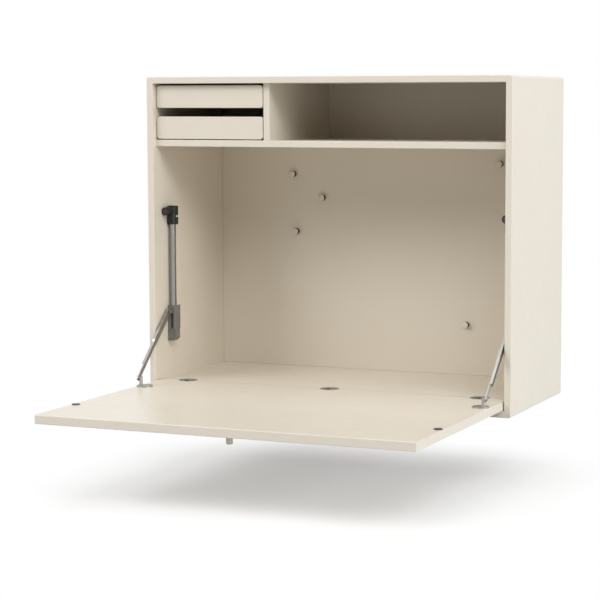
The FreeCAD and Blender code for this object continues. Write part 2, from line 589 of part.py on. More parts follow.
def stay_guide(name, side):
    """Guide tube of a stay with its top fitting, which holds the catch's magnet, and its lower block.

    Sideways sizes count outwards, from the tube's axis to the side panel.
    """
    seat = "tube + 2 * tube_fit"
    guide = new_body(f"stay_{name}_tube")
    section = new_sketch(guide, "XY_Plane")
    circle(section, "0", "0", "tube")
    circle(section, "0", "0", "tube - 2 * tube_wall")
    foot = f"({BLOCK_UP} + block_height - tube_seat)"
    pad(guide, section, f"{CATCH_UP} - fitting_below + tube_seat - {foot}")
    place(guide, f"{side} * {TUBE_X}", TUBE_Y, foot)

    block = new_body(f"stay_{name}_lower_block")
    section = new_sketch(block, "XY_Plane")
    wall = "(tube / 2 + tube_fit + block_wall)"
    rectangle(section, (f"{side} * -{wall}", f"-{wall}"), (f"{side} * {TUBE_IN}", wall))
    pad(block, section, "block_height")
    socket = new_sketch(block, "XY_Plane", "block_height")
    circle(socket, "0", "0", seat)
    pocket(block, socket, "tube_seat")
    ease(block, "block_bevel", lambda edge: lies(edge, x=f"{side} * -{wall}", z="0"), "Chamfer")
    place(block, f"{side} * {TUBE_X}", TUBE_Y, BLOCK_UP)

    fitting = new_body(f"stay_{name}_top_fitting")
    wall = "(tube / 2 + tube_fit + fitting_wall)"
    section = new_sketch(fitting, "XY_Plane", "-fitting_below")
    rectangle(section, (f"{side} * -{wall}", f"-{wall}"), (f"{side} * {TUBE_IN}", wall))
    pad(fitting, section, "fitting_below + fitting_above")
    ease(fitting, "fitting_bevel",
         lambda edge: lies(edge, x=f"{side} * -{wall}", z="fitting_above"), "Chamfer")
    ease(fitting, "fitting_round", lambda edge: lies(edge, x=f"{side} * -{wall}", y=wall)
         or lies(edge, x=f"{side} * -{wall}", y=f"-{wall}")
         or lies(edge, x=f"{side} * {TUBE_IN}", y=f"-{wall}"))
    notch = new_sketch(fitting, "XY_Plane", "notch_up - fitting_below")
    rectangle(notch, (f"{side} * -{wall}", "-fitting_wall"), ("0", wall))
    pocket(fitting, notch, "notch_height", backwards=True)
    boss_face = "(catch_gap + strike_thick - tube_back)"
    boss = new_sketch(fitting, "XZ_Plane")
    circle(boss, "0", "0", "catch_boss")
    pad(fitting, boss, f"-{boss_face}")
    socket = new_sketch(fitting, "XY_Plane", "-fitting_below")
    circle(socket, "0", "0", seat)
    pocket(fitting, socket, "tube_seat", backwards=True)
    well = new_sketch(fitting, "XZ_Plane", f"-{boss_face}")
    circle(well, "0", "0", "catch_magnet + 2 * stem_fit")
    pocket(fitting, well, "magnet_deep")
    place(fitting, f"{side} * {TUBE_X}", TUBE_Y, CATCH_UP)

    magnet = new_body(f"catch_{name}_magnet")
    section = new_sketch(magnet, "XZ_Plane")
    circle(section, "0", "0", "catch_magnet")
    pad(magnet, section, "magnet_deep")
    place(magnet, f"{side} * {TUBE_X}", f"{TUBE_Y} + {boss_face} + magnet_deep", CATCH_UP)


def pivot_pin(body, side, start, arm_middle, y, up):
    """A riveted pivot on the body, out along X from start through the arm, with a head beyond it."""
    arm_face = f"({arm_middle} + arm_thickness / 2)"
    shank = new_sketch(body, "YZ_Plane", f"{side} * ({start})")
    circle(shank, y, up, "pivot")
    pad(body, shank, f"{arm_face} + pivot_play - ({start})", backwards=side == "-1")
    head = new_sketch(body, "YZ_Plane", f"{side} * ({arm_face} + pivot_play)")
    circle(head, y, up, "pivot_head")
    pad(body, head, "pivot_head_thick", backwards=side == "-1")


def stay_slider(name, side):
    """Slider that wraps the tube from the front, open at its back, with a lug ahead that carries the arm.

    Its origin lies on the tube's axis at the height of its pivot.
    """
    room = "(tube / 2 + tube_play)"
    outer = f"({room} + slider_wall)"
    cheek = f"({room} + slider_cheek)"
    slider = new_body(f"stay_{name}_slider")
    section = new_sketch(slider, "XY_Plane", "-slider_below")
    outline(section, [(f"{side} * -{outer}", f"-{outer}"), (f"{side} * {cheek}", f"-{outer}"),
                      (f"{side} * {cheek}", "slider_behind"), (f"{side} * {room}", "slider_behind"),
                      (f"{side} * {room}", f"-{room}"), (f"{side} * -{room}", f"-{room}"),
                      (f"{side} * -{room}", "slider_behind"), (f"{side} * -{outer}", "slider_behind")])
    pad(slider, section, "slider_below + slider_above")
    ease(slider, "slider_round", lambda edge: lies(edge, x=f"{side} * -{outer}", y=f"-{outer}"))
    slot = new_sketch(slider, "XZ_Plane", room)
    rectangle(slot, (f"{side} * (-slot_in - slider_slot / 2)", "slot_foot - slider_below"),
              (f"{side} * (slider_slot / 2 - slot_in)", "-slot_head - lug_height / 2"))
    pocket(slider, slot, "slider_wall", backwards=True)
    lug_face = f"({ARM_OUT} - arm_thickness / 2 - pivot_play)"
    lug = new_sketch(slider, "YZ_Plane", f"{side} * ({lug_face} - lug_thickness)")
    rectangle(lug, (f"-{PIVOT_AHEAD} - lug_height / 2", "-lug_height / 2"), (f"-{room}", "lug_height / 2"))
    pad(slider, lug, "lug_thickness", backwards=side == "-1")
    pivot_pin(slider, side, f"{lug_face} - lug_thickness / 2", ARM_OUT, f"-{PIVOT_AHEAD}", "0")
    place(slider, f"{side} * {TUBE_X}", TUBE_Y, PIVOT_UP)


def stay_arm(name, side):
    """Arm from the flap's post to the slider: a pressed channel, wider in its upper half, with a flat foot.

    Its origin lies on the lower pivot and its length runs up along Z before it is tilted.
    """
    arm = new_body(f"stay_{name}_arm")
    strip = new_sketch(arm, "YZ_Plane")
    top = "arm_length + arm_nose"
    shoulder = "arm_step + arm_upper_width / 2"
    outline(strip, [("-arm_lower_width / 2", "-arm_nose"), ("arm_lower_width / 2", "-arm_nose"),
                    ("arm_lower_width / 2", "arm_step"), ("arm_upper_width / 2", shoulder),
                    ("arm_upper_width / 2", top), ("-arm_upper_width / 2", top),
                    ("-arm_upper_width / 2", shoulder), ("-arm_lower_width / 2", "arm_step")])
    pad(arm, strip, "arm_thickness", both_ways=True)
    lower_round = "(arm_lower_width - arm_tip) / 2"
    upper_round = "(arm_upper_width - arm_tip) / 2"
    ease(arm, lower_round, lambda edge: lies(edge, y="arm_lower_width / 2", z="-arm_nose")
         or lies(edge, y="-arm_lower_width / 2", z="-arm_nose"))
    ease(arm, upper_round, lambda edge: lies(edge, y="arm_upper_width / 2", z=top)
         or lies(edge, y="-arm_upper_width / 2", z=top))
    flanges = new_sketch(arm, "YZ_Plane")
    end = f"{top} - {upper_round}"
    for edge in SIDES.values():
        outline(flanges, [(f"{edge} * (arm_lower_width / 2 - flange_thickness)", "flange_start"),
                          (f"{edge} * arm_lower_width / 2", "flange_start"),
                          (f"{edge} * arm_lower_width / 2", "arm_step"),
                          (f"{edge} * arm_upper_width / 2", shoulder), (f"{edge} * arm_upper_width / 2", end),
                          (f"{edge} * (arm_upper_width / 2 - flange_thickness)", end),
                          (f"{edge} * (arm_upper_width / 2 - flange_thickness)", shoulder),
                          (f"{edge} * (arm_lower_width / 2 - flange_thickness)", "arm_step")])
    pad(arm, flanges, "arm_thickness / 2 + flange_height", backwards=side == "-1")
    eyes = new_sketch(arm, "YZ_Plane")
    circle(eyes, "0", "0", "pivot + 2 * pin_play")
    circle(eyes, "0", "arm_length", "pivot + 2 * pin_play")
    pocket(arm, eyes, "2 * arm_thickness", both_ways=True)
    # The arm leans back from the post to the slider
    arm.Placement = FreeCAD.Placement(FreeCAD.Vector(), FreeCAD.Rotation(FreeCAD.Vector(1, 0, 0), -1))
    arm.setExpression("Placement.Rotation.Angle", bound(f"-asin({ARM_RUN} / arm_length)"))
    place(arm, f"{side} * ({INNER} - {ARM_IN})", f"{AXIS_Y} - post_reach", POST_UP)


def stay_foot(name, side):
    """Round plate on the flap with the post that carries the arm, and the catch's plate."""
    foot = new_body(f"stay_{name}_flap_plate")
    disc = new_sketch(foot, "XY_Plane")
    circle(disc, "0", "plate_behind", "plate")
    pad(foot, disc, "plate_thick")
    post_x = f"{side} * plate_shift"
    stem = new_sketch(foot, "XY_Plane")
    circle(stem, post_x, "0", "post")
    pad(foot, stem, f"{POST_HEIGHT} + post / 2")
    pivot_pin(foot, side, "plate_shift", f"{PLATE_IN} - {ARM_IN}", "0", POST_HEIGHT)
    place(foot, f"{side} * ({INNER} - {PLATE_IN})", f"{AXIS_Y} - post_reach", FLOOR_TOP)

    strike = new_body(f"catch_{name}_plate")
    disc = new_sketch(strike, "XY_Plane")
    circle(disc, "0", "0", "strike")
    pad(strike, disc, "strike_thick")
    strike_x = f"({FLAP_WIDTH} / 2 - strike_inset - strike / 2)"
    place(strike, f"{side} * {strike_x}", f"{AXIS_Y} - catch_reach", FLOOR_TOP)


def knob():
    """Turned knob on the outer face of the flap, near its free edge."""
    handle = new_body("flap_knob")
    turn(handle, "XZ_Plane", "V_Axis", [("0", "knob_deep"), ("knob_stem / 2", "knob_deep"),
                                        ("knob_stem / 2", "0"), ("knob_neck / 2", "0"),
                                        ("knob_neck / 2", "-knob_step"), ("knob / 2", "-knob_step"),
                                        ("knob / 2", "-knob_length"), ("0", "-knob_length")])
    place(handle, y=f"{JOINT} - {FLAP_LENGTH} + knob_in", up=f"{FLOOR_TOP} - flap_board")


def magnets():
    """Small round magnets that stand on the steel sheet."""
    for number in range(1, MAGNETS + 1):
        peg = new_body(f"magnet_{number}")
        section = new_sketch(peg, "XZ_Plane")
        circle(section, "0", "0", "peg")
        pad(peg, section, "peg_length")
        up = f"{FLOOR_TOP} + magnet_{number}_up * ({SHELF_UP} - {FLOOR_TOP})"
        place(peg, f"magnet_{number}_across * {INNER}", f"{BACK_FACE} - sheet", up)


def write():
    """Check every object of the document, then write each node's solid."""
    doc.recompute()
    failed = [thing.Label for thing in doc.Objects if {"Invalid", "Error"} & set(thing.State)]
    failed += [node.Label for node in nodes if node.Shape.isNull() or not node.Shape.isValid()]
    failed += [node.Label for node in nodes if len(node.Shape.Solids) != 1]
    if failed:
        raise RuntimeError("failed: " + ", ".join(failed))
    os.makedirs("parts", exist_ok=True)
    for node in nodes:
        node.Shape.exportStep(f"parts/{node.Label}.step")
    print(len(nodes), "nodes")


carcass()
back()
inner_boards()
desk_floor()
trays()
wall_fixing()
flap()
hinges()
for stay_name, stay_side in SIDES.items():
    stay_guide(stay_name, stay_side)
    stay_slider(stay_name, stay_side)
    stay_arm(stay_name, stay_side)
    stay_foot(stay_name, stay_side)
knob()
magnets()
write()
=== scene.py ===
"""Looks of a fold down wall desk: finishes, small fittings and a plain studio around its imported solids.

Laid out as an add-on and run as a script. Lengths are metres in the desk's own frame: +X to the right,
+Y into the wall, +Z up, with the origin on the wall rail's row of screw holes.
"""
import math

import bmesh
import bpy
from bpy.props import FloatProperty, FloatVectorProperty, PointerProperty
from mathutils import Matrix, Vector


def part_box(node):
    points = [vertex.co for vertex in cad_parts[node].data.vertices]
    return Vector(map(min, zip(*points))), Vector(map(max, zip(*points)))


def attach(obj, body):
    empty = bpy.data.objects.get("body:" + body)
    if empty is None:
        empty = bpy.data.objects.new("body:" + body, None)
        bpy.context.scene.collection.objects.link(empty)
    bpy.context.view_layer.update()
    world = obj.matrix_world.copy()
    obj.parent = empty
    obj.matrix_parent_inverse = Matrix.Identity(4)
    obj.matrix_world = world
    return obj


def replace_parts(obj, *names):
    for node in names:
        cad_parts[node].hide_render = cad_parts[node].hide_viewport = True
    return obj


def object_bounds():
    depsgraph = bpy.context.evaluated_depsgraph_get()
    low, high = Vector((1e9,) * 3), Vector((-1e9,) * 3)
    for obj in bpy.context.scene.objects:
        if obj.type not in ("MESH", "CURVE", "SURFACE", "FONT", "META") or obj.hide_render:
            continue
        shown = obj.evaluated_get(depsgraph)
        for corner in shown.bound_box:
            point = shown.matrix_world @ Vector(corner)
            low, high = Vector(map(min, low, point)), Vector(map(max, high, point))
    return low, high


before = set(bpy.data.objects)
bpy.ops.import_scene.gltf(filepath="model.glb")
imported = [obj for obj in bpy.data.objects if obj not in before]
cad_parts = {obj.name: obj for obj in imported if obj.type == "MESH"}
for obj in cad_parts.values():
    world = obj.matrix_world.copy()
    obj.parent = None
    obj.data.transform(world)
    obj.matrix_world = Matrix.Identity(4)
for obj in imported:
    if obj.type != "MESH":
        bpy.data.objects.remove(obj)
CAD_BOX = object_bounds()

bl_info = {
    "name": "Fold Down Wall Desk",
    "version": (1, 0, 0),
    "blender": (4, 5, 0),
    "location": "View3D > Sidebar > Desk",
    "description": "Finishes and small fittings of a fold down wall desk, with a plain studio",
    "category": "Object",
}

MM = 0.001
SIDES = {"left": -1, "right": 1}
HINGES = ("left", "centre", "right")
TRAYS = ("lower", "upper")
MAGNETS = [f"magnet_{number}" for number in range(1, 6)]

# Edges of the added pieces that bend more than this are shaded sharp.
SHARP_ANGLE = math.radians(38)

# Outline of a screw head, as shares of its radius and its rise.
HEAD_OUTLINE = ((1, 0), (1, 0.45), (0.95, 0.8), (0.84, 1))
HEAD_SEGMENTS = 24
# Cross recess of a screw: reach, half width and depth as shares of the head's diameter,
# and the width at its floor as a share of that at its mouth.
CROSS_REACH, CROSS_HALF, CROSS_DEPTH, CROSS_TAPER = 0.29, 0.075, 0.16, 0.7

# Place of a pair of screws to each side of the middle, as a share of their plate's width.
SCREW_SPREAD = 0.28
# Angles at which the cross recesses were left when the screws were driven home.
HINGE_SCREW_TURN, HANGER_SCREW_TURN, INSERT_SCREW_TURN = 0.4, 0.5, 0.6
# Angle from the post to each screw of a stay's plate.
PLATE_SCREW_TURN = math.radians(115)
# Height and head of the brake insert's screw, as shares of the insert's length and width.
INSERT_SCREW_UP, INSERT_SCREW_HEAD = 0.25, 0.9

# The knob's neck as a share of its head, and the hollow and the shoulder as shares of its reach.
KNOB_NECK, KNOB_HOLLOW, KNOB_SHOULDER = 0.72, 0.22, 0.45
# Middle point of a crowned face: a share of its radius out, and a share of its crown below the top.
CROWN_OUT, CROWN_BELOW = 0.5, 0.25
# Faces of a magnet whose normals lean less than this to its axis are its sides, which get a dark tone as painted
# shade.
SHADE_PAINTED_BELOW = 0.5

# Lamps: the setting with the power, the size of the lit face and the place.
LAMPS = {
    "Key lamp": ("key_power", (4.4, 3.4), (3.72, -4.02, 4.07)),
    "Fill lamp": ("fill_power", (4.4, 3.0), (-4.10, -4.40, 3.30)),
    "Top lamp": ("top_power", (3.6, 2.8), (0.0, -0.4, 4.95)),
    "Side lamp": ("side_power", (3.6, 2.6), (5.9, -0.3, 0.79)),
}
LAMP_TARGET = Vector((0, -0.3, -0.25))

FLOOR_HALF, FLOOR_CELLS = 9.0, 12
# The floor is toned in a square about the shadow's middle, and fades to white between two distances from it.
SHADOW_MIDDLE, SHADOW_HALF = (0.04, -0.4, 0), (0.15, 0.15, 0)
FADE_START, FADE_END = 0.05, 0.4


def linear(hex_colour):
    """An sRGB hex colour as linear red, green, blue and alpha."""
    parts = [int(hex_colour[at:at + 2], 16) / 255 for at in (0, 2, 4)]
    return [part / 12.92 if part <= 0.04045 else ((part + 0.055) / 1.055) ** 2.4 for part in parts] + [1.0]


def colour(name, description, hex_colour):
    """A colour that a user may change."""
    return FloatVectorProperty(name=name, description=description, subtype="COLOR", size=4, min=0, max=1,
                               default=linear(hex_colour))


def length(name, description, size):
    """A length that a user may change, given in millimetres."""
    return FloatProperty(name=name, description=description, unit="LENGTH", min=0, precision=5,
                         default=size * MM)


def angle(name, description, degrees):
    """An angle that a user may change, given in degrees."""
    return FloatProperty(name=name, description=description, subtype="ANGLE", default=math.radians(degrees))


def power(name, description, watts):
    """A lamp's power that a user may change."""
    return FloatProperty(name=name, description=description, unit="POWER", min=0, default=watts)


class DeskFinishes(bpy.types.PropertyGroup):
    """Colours of the desk's finishes."""
    lacquer: colour("Lacquer", "Warm pale lacquer of all boards", "E0D8CA")
    lacquer_deep: colour("Lacquer, deep", "Tone that the lacquer drifts to", "DDD4C5")
    tray_lacquer: colour("Tray lacquer", "Thinner lacquer inside the trays", "E3DACB")
    tray_lacquer_deep: colour("Tray lacquer, deep", "Tone that the tray lacquer drifts to", "DDD3C2")
    beech: colour("Beech", "Early wood of the tray runners", "D9B78C")
    beech_late: colour("Beech, late wood", "Late wood of the tray runners", "C39A6B")
    zinc: colour("Zinc", "Zinc plating of the wall rail and hangers", "C9CCCF")
    zinc_deep: colour("Zinc, deep", "Darker spangles of the zinc plating", "A9AEB3")
    nickel: colour("Nickel", "Satin nickel of the hinges", "A8A59F")
    nickel_deep: colour("Nickel, deep", "Darker brush lines of the hinges", "8E8B85")
    stay_nickel: colour("Stay nickel", "Satin nickel of the stay arms and flap plates", "B0AEAA")
    stay_nickel_deep: colour("Stay nickel, deep", "Darker brush lines of the arms and plates", "92908C")
    steel: colour("Steel", "Polished drawn steel of the guide tubes", "A8A7A5")
    steel_deep: colour("Steel, deep", "Darker drawing lines of the steel", "8A8987")
    # On the brake inserts this black also paints the shade in the sliders' slots.
    black_nylon: colour("Black nylon", "Moulded nylon of the top fittings and brake inserts", "0B0B0B")
    black_nylon_worn: colour("Black nylon, worn", "Rubbed spots of the black nylon", "171616")
    grey_nylon: colour("Grey nylon", "Moulded nylon of sliders and lower blocks", "6A6863")
    grey_nylon_worn: colour("Grey nylon, worn", "Rubbed spots of the grey nylon", "7C7973")
    ferrite: colour("Ferrite", "Ground ferrite of the catch magnets", "4A413B")
    ferrite_deep: colour("Ferrite, deep", "Darker grains of the ferrite", "352E2A")
    # On the catch plates this dark tone is their own colour; on the magnets' sides it is painted shade.
    burnished: colour("Burnished steel", "Catch plates and bare sides of the magnets", "5A5450")
    burnished_deep: colour("Burnished steel, deep", "Darkest spots of the burnished steel", "3E3936")


class DeskFittings(bpy.types.PropertyGroup):
    """Sizes of the small fittings that are added to the solids."""
    rim_round: length("Rim rounding", "Radius of the rims of magnets and knob", 1.2)
    face_crown: length("Face crown", "Rise of the faces of magnets and knob", 0.25)
    magnet_foot: length("Magnet foot", "Chamfer at the foot of a magnet", 0.4)
    knob_stem: length("Knob stem", "Radius of the knob's stem in the flap", 2.0)
    neck_round: length("Knob neck", "Radius of the hollow between the knob's neck and head", 1.4)
    screw_head: length("Small screw head", "Diameter of the screws in hinges and plates", 5.4)
    screw_rise: length("Small screw rise", "Height of those screws above their plate", 0.25)
    hinge_back: length("Hinge middle", "Distance of a hinge's middle behind its pin", 7.0)
    leaf_screw: length("Leaf screws", "Distance of a leaf's screws from the hinge's middle", 6.72)
    pan_head: length("Pan head", "Diameter of the screws in the hangers", 8.0)
    pan_rise: length("Pan head rise", "Height of the hangers' screw heads", 2.4)
    hanger_thickness: length("Hanger thickness", "Thickness of the hangers' plates", 2.5)
    hanger_screw: length("Hanger screws", "Height of the hangers' screws above their lower edge", 9.0)
    plate_thickness: length("Plate thickness", "Thickness of the stays' plates on the flap", 2.5)
    screw_circle: length("Plate screws", "Distance of the plates' screws from the plate's middle", 8.2)
    # The brake insert is black nylon and also stands in for the shade in the slider's slot.
    insert_width: length("Brake insert", "Width of the brake insert in a slider's slot", 3.6)
    insert_depth: length("Brake insert depth", "Depth of the brake insert", 1.2)
    insert_round: length("Brake insert rounding", "Radius of the brake insert's edges", 0.35)
    insert_play: length("Brake insert play", "Gap between the brake insert and the tube", 0.2)
    insert_aside: length("Brake insert place", "Distance of the brake insert from the tube's axis", 1.2)
    insert_foot: length("Brake insert foot", "Distance of the insert from the slider's lower end", 2.2)
    insert_head: length("Brake insert head", "Distance of the insert from the slider's upper end", 15.7)


class DeskStudio(bpy.types.PropertyGroup):
    """Camera, floor and lamps."""
    eye: FloatVectorProperty(name="Eye", description="Place of the camera", subtype="XYZ", unit="LENGTH",
                             default=(1.317, -3.289, -0.009))
    pitch: angle("Pitch", "Angle by which the camera looks down", 5.81)
    yaw: angle("Yaw", "Angle by which the camera looks to the left", 21.82)
    lens: FloatProperty(name="Lens", description="Focal length on a 36 mm sensor", unit="CAMERA", default=111.7)
    shift: FloatVectorProperty(name="Shift", description="Sideways and upward shift of the frame", size=2,
                               default=(-0.144, -0.0087))
    floor_drop: length("Floor drop", "Distance of the floor below the desk's lowest point", 122)
    floor_bounce: colour("Floor bounce", "Tone in which the floor throws light back", "C8C8C8")
    floor_shade: colour("Floor shade", "Tone of the floor about the shadow, to the eye", "DBDBDB")
    floor_glow: FloatProperty(name="Floor glow", description="Light that lifts the toned floor to white", min=0,
                              default=0.345)
    key_power: power("Key lamp", "Power of the soft lamp in front, at the right", 266)
    fill_power: power("Fill lamp", "Power of the soft lamp in front, at the left", 266)
    top_power: power("Top lamp", "Power of the soft lamp overhead", 98)
    side_power: power("Side lamp", "Power of the soft lamp beside the desk, at the right", 190)
    side_tone: colour("Side lamp tone", "Faintly cool light of the lamp beside the desk", "F9FDFF")


def add(tree, kind, inputs=None, **settings):
    """Add a node with its settings; an input is a value or another node's output to link."""
    made = tree.nodes.new(kind)
    for name, setting in settings.items():
        setattr(made, name, setting)
    for socket, given in (inputs or {}).items():
        if isinstance(given, bpy.types.NodeSocket):
            tree.links.new(given, made.inputs[socket])
        else:
            made.inputs[socket].default_value = given
    return made


def per_mm(size):
    """The texture scale that gives a pattern of this size in millimetres."""
    return 1 / (size * MM)


def noise(tree, spot, size, detail):
    """Cloudy noise with patches of this size in millimetres."""
    made = add(tree, "ShaderNodeTexNoise", {"Vector": spot, "Scale": per_mm(size), "Detail": detail})
    return made.outputs["Fac"]


def streaks(tree, spot, sizes, detail):
    """Noise that is stretched to these sizes in millimetres along X, Y and Z."""
    drawn = add(tree, "ShaderNodeMapping", {"Vector": spot, "Scale": [per_mm(size) for size in sizes]})
    made = add(tree, "ShaderNodeTexNoise", {"Vector": drawn.outputs["Vector"], "Scale": 1.0, "Detail": detail})
    return made.outputs["Fac"]


def blend(tree, share, first, second):
    """A blend of two colours. A colour mix has its colours at inputs 6 and 7 and its result at output 2."""
    return add(tree, "ShaderNodeMix", {0: share, 6: first, 7: second}, data_type="RGBA").outputs[2]


def spread(tree, value, low, high, start=0.3, stop=0.7):
    """A value from low to high as another goes from start to stop, between which most noise lies."""
    made = add(tree, "ShaderNodeMapRange", {"Value": value, "From Min": start, "From Max": stop,
                                            "To Min": low, "To Max": high})
    return made.outputs["Result"]


def relief(tree, height, strength, depth):
    """The normals of a surface with a relief of this depth in millimetres."""
    made = add(tree, "ShaderNodeBump", {"Height": height, "Strength": strength, "Distance": depth * MM})
    return made.outputs["Normal"]


def greater(tree, first, second):
    """The greater of two values."""
    return add(tree, "ShaderNodeMath", {0: first, 1: second}, operation="MAXIMUM").outputs[0]


def vector(tree, operation, *values):
    """The vector that an operation makes of others."""
    return add(tree, "ShaderNodeVectorMath", dict(enumerate(values)), operation=operation).outputs[0]


def new_material(name):
    """An empty node material, its tree and the place on the object."""
    material = bpy.data.materials.new(name)
    material.use_nodes = True
    tree = material.node_tree
    tree.nodes.clear()
    return material, tree, add(tree, "ShaderNodeTexCoord").outputs["Object"]


def close(tree, shader):
    """Link the shader to the material's output."""
    add(tree, "ShaderNodeOutputMaterial", {"Surface": shader.outputs[0]})


def satin_lacquer(name, tone, deep, peel_mm, roughness):
    """Pigmented lacquer, sprayed in several coats: an even pale colour with a soft sheen.

    It gives the eye a very slow drift of tone, a sheen that varies a little and a faint orange peel.
    The peel is drawn coarser than the real one, which is finer than a pixel.
    """
    material, tree, spot = new_material(name)
    drift = blend(tree, noise(tree, spot, size=110, detail=3.0), tone, deep)
    sheen = spread(tree, noise(tree, spot, size=22, detail=2.0), low=roughness - 0.05, high=roughness + 0.05)
    peel = relief(tree, noise(tree, spot, size=peel_mm, detail=1.0), strength=0.12, depth=0.05)
    close(tree, add(tree, "ShaderNodeBsdfPrincipled", {
        "Base Color": drift, "Roughness": sheen, "IOR": 1.5, "Normal": peel}))
    return material


def waxed_beech(tone, late):
    """Planed and waxed beech with the grain along the runner.

    It gives the eye long pale streaks with short darker flecks and a dull shine.
    """
    material, tree, spot = new_material("Waxed beech")
    flecks = streaks(tree, spot, sizes=(0.8, 4, 0.8), detail=2.0)
    sharp = spread(tree, flecks, low=0, high=1, start=0.58, stop=0.72)
    grain = greater(tree, streaks(tree, spot, sizes=(2, 60, 2), detail=3.0), sharp)
    close(tree, add(tree, "ShaderNodeBsdfPrincipled", {
        "Base Color": blend(tree, grain, tone, late), "Roughness": 0.48, "IOR": 1.5,
        "Normal": relief(tree, grain, strength=0.2, depth=0.1)}))
    return material


def zinc_plating(tone, deep):
    """Electroplated zinc on bent sheet steel: a cool bluish grey, cloudy, with faint spangles."""
    material, tree, spot = new_material("Zinc plated steel")
    spangle = add(tree, "ShaderNodeTexVoronoi", {"Vector": spot, "Scale": per_mm(5)}).outputs["Color"]
    cloud = noise(tree, spot, size=16, detail=3.0)
    share = add(tree, "ShaderNodeMath", {0: spangle, 1: cloud}, operation="MULTIPLY").outputs[0]
    close(tree, add(tree, "ShaderNodeBsdfPrincipled", {
        "Base Color": blend(tree, share, tone, deep), "Metallic": 1.0,
        "Roughness": spread(tree, cloud, low=0.28, high=0.52, start=0, stop=1)}))
    return material


def drawn_metal(name, tone, deep, grain_mm, roughness, change, metallic=1.0):
    """Metal, or ground ferrite, with fine lines left by brushing, drawing or grinding along one way.

    It gives the eye a long soft gleam that breaks up across the lines. grain_mm is the size of the pattern
    along each axis; the lines are drawn coarser than the real ones, which are finer than a pixel.
    """
    material, tree, spot = new_material(name)
    line = streaks(tree, spot, sizes=grain_mm, detail=4.0)
    close(tree, add(tree, "ShaderNodeBsdfPrincipled", {
        "Base Color": blend(tree, line, tone, deep), "Metallic": metallic,
        "Roughness": spread(tree, line, low=roughness - change, high=roughness + change),
        "Normal": relief(tree, line, strength=0.08, depth=0.02)}))
    return material


def moulded_nylon(name, tone, worn, roughness):
    """Nylon from a spark-eroded mould: a dull, finely pitted skin that shines where it is rubbed.

    The pits are drawn coarser than the real ones, which are finer than a pixel.
    """
    material, tree, spot = new_material(name)
    rub = noise(tree, spot, size=9, detail=3.0)
    pits = relief(tree, noise(tree, spot, size=0.7, detail=1.0), strength=0.25, depth=0.05)
    close(tree, add(tree, "ShaderNodeBsdfPrincipled", {
        "Base Color": blend(tree, rub, tone, worn), "IOR": 1.53, "Normal": pits,
        "Roughness": spread(tree, rub, low=roughness + 0.08, high=roughness - 0.08)}))
    return material


def cad(name):
    """The object of a CAD node."""
    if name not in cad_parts:
        raise RuntimeError(f"the frame has no node named {name}")
    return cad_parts[name]


def finish(names, material):
    """Give the CAD nodes a finish."""
    for name in names:
        for slot in cad(name).material_slots:
            slot.material = material


def middle(name):
    """The middle of a CAD node's box."""
    low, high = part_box(name)
    return (low + high) / 2


def piece(name, bm, material, body):
    """An object from a bmesh, smooth except at sharp edges, that rides on a body and takes a slot's finish."""
    bmesh.ops.recalc_face_normals(bm, faces=bm.faces)
    mesh = bpy.data.meshes.new(name)
    bm.to_mesh(mesh)
    bm.free()
    mesh.polygons.foreach_set("use_smooth", [True] * len(mesh.polygons))
    mesh.set_sharp_from_angle(angle=SHARP_ANGLE)
    mesh.materials.append(material)
    made = bpy.data.objects.new(name, mesh)
    bpy.context.scene.collection.objects.link(made)
    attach(made, body)
    return made


def facing(place, direction, spin=0.0):
    """A place whose Z axis points along a direction, turned about it by spin."""
    turn = Vector(direction).to_track_quat("Z", "Y").to_matrix().to_4x4()
    return Matrix.Translation(place) @ turn @ Matrix.Rotation(spin, 4, "Z")


def arc(across, along, radius, start, end, steps=6):
    """Points of an arc in a turned profile, from one angle to another in degrees."""
    angles = [math.radians(start + (end - start) * step / steps) for step in range(steps + 1)]
    return [(across + radius * math.cos(turn), along + radius * math.sin(turn)) for turn in angles]


def crowned(radius, reach, sizes, end):
    """Profile of a rim, rounded up to an angle in degrees, and of the crowned face inside it."""
    rim, crown = sizes.rim_round, sizes.face_crown
    face = [(radius * CROWN_OUT, reach - crown * CROWN_BELOW), (0, reach)]
    return arc(radius - rim, reach - rim - crown, rim, start=0, end=end) + face


def ring(bm, place, radius, height, segments):
    """A ring of vertices about the place's Z axis, or a single one on the axis."""
    if radius == 0:
        return [bm.verts.new(place @ Vector((0, 0, height)))]
    turns = [2 * math.pi * step / segments for step in range(segments)]
    return [bm.verts.new(place @ Vector((radius * math.cos(turn), radius * math.sin(turn), height)))
            for turn in turns]


def turned(bm, place, profile, segments=48):
    """Sweep a profile of radius and height about the place's Z axis. Gives the rings of vertices."""
    rings = [ring(bm, place, radius, height, segments) for radius, height in profile]
    for lower, upper in zip(rings, rings[1:]):
        for step in range(segments):
            after = (step + 1) % segments
            corners = [lower[step % len(lower)], lower[after % len(lower)],
                       upper[after % len(upper)], upper[step % len(upper)]]
            bm.faces.new(list(dict.fromkeys(corners)))
    return rings


